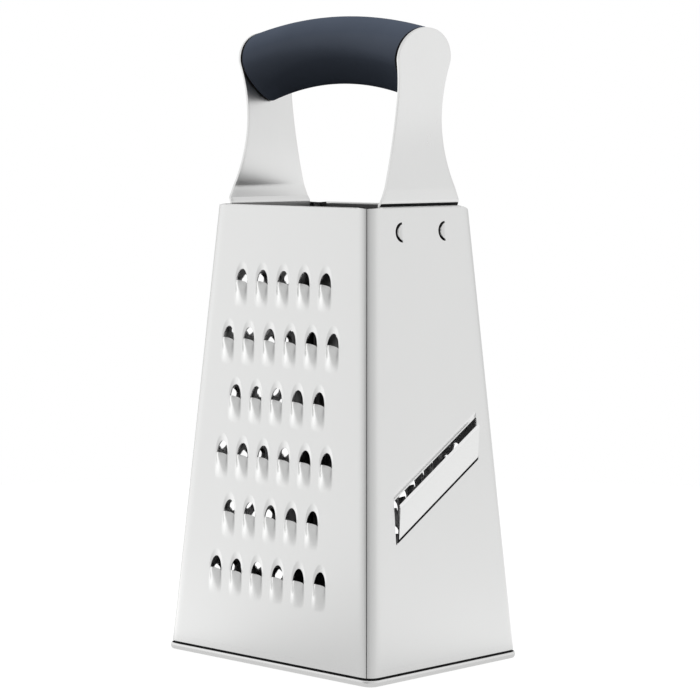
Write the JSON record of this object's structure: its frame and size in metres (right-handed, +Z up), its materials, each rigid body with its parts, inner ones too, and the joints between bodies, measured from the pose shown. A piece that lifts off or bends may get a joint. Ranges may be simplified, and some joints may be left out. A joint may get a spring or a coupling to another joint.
{
  "type": "box grater",
  "caption": "Tapered box grater of stamped steel with grating, zesting and slicing faces, a crimped foot rim, and bowed straps that carry an arched soft grip.",
  "frame": {"origin": "middle of the foot, on the surface that the grater stands on", "axes": "+Z up; the coarse face looks along -Y, the slicing face along +X, the medium face along +Y, the zesting face along -X; the grip runs along X"},
  "size_m": [0.1068, 0.0806, 0.2365],
  "materials": {
    "satin_steel": "satin stainless sheet",
    "rim_steel": "bright stainless strip",
    "soft_grip": "soft-touch dark blue-grey rubber",
    "core_plastic": "plain moulded plastic, hidden inside the grip"
  },
  "bodies": {
    "root": {"coarse_panel": "satin_steel", "slicer_panel": "satin_steel", "medium_panel": "satin_steel", "zester_panel": "satin_steel", "base_rim": "rim_steel", "handle_strap_right": "satin_steel", "handle_strap_left": "satin_steel", "grip_sleeve": "soft_grip", "grip_core": "core_plastic", "grip_stud_right": "rim_steel", "grip_stud_left": "rim_steel"}
  },
  "joints": []
}
